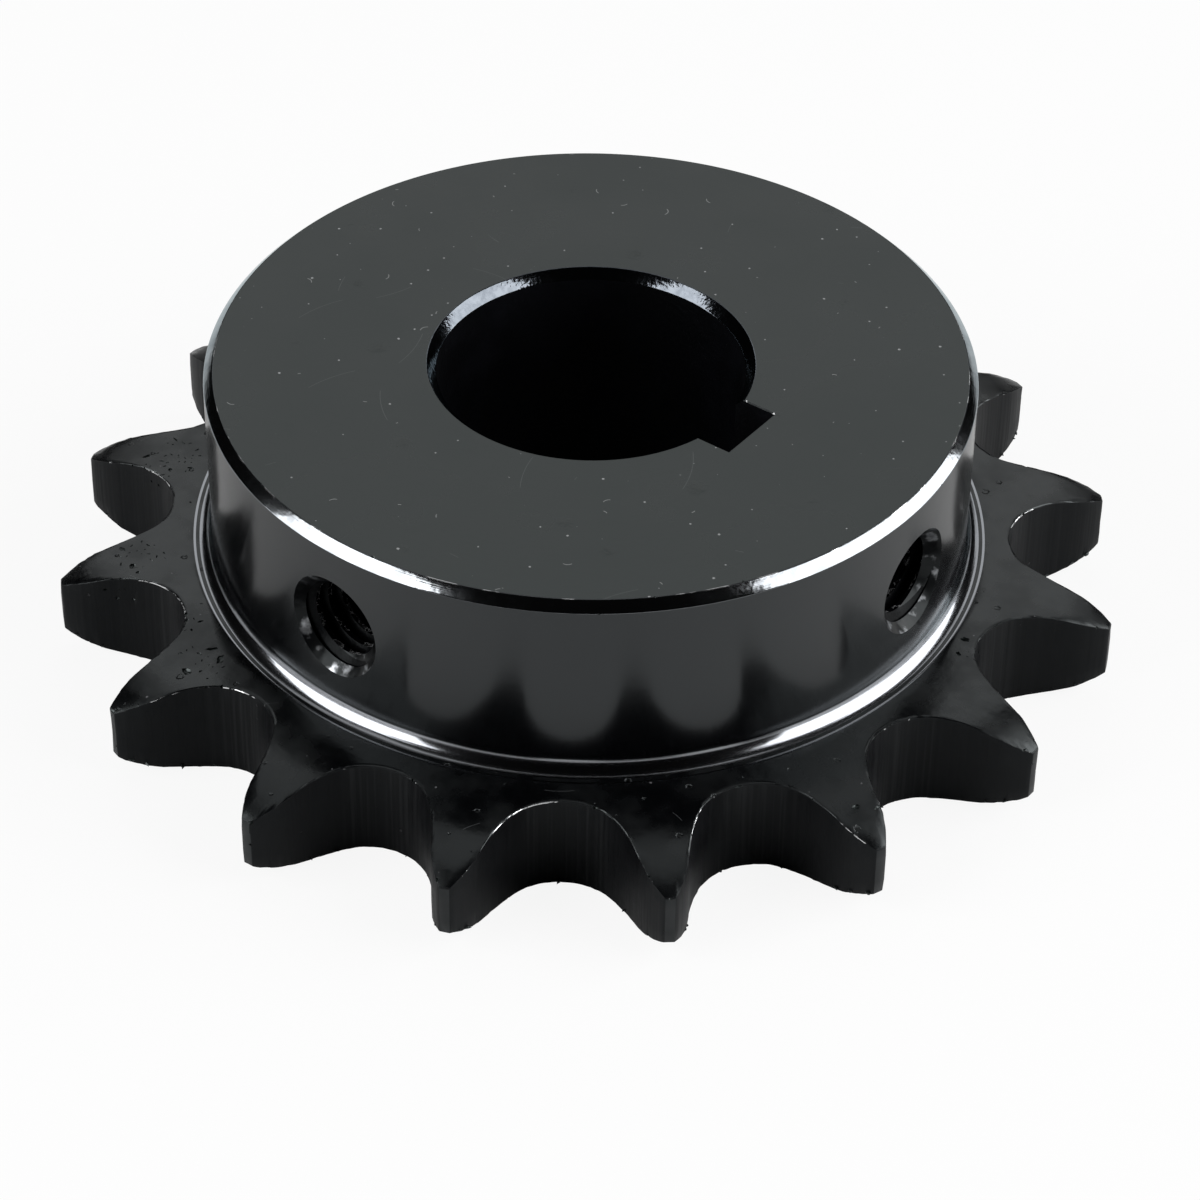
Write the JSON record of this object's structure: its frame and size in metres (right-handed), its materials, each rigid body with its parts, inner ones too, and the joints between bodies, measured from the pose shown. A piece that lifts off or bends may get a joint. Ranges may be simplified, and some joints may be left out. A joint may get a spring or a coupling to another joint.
{
  "type": "chain sprocket",
  "caption": "Roller chain sprocket with a ring of teeth, a hub on one side, a keyed bore and tapped set screw holes in the hub.",
  "frame": {"origin": "centre of the bore on the back face of the toothed plate, where the part rests", "axes": "+Z along the bore from the plate's back face to the hub's face; +X through the keyway and the middle of one tooth"},
  "size_m": [0.0894, 0.0894, 0.0254],
  "materials": {
    "black_oxide_steel": "black oxide on turned and milled steel, lightly oiled"
  },
  "bodies": {
    "root": {"sprocket": "black_oxide_steel"}
  },
  "joints": []
}
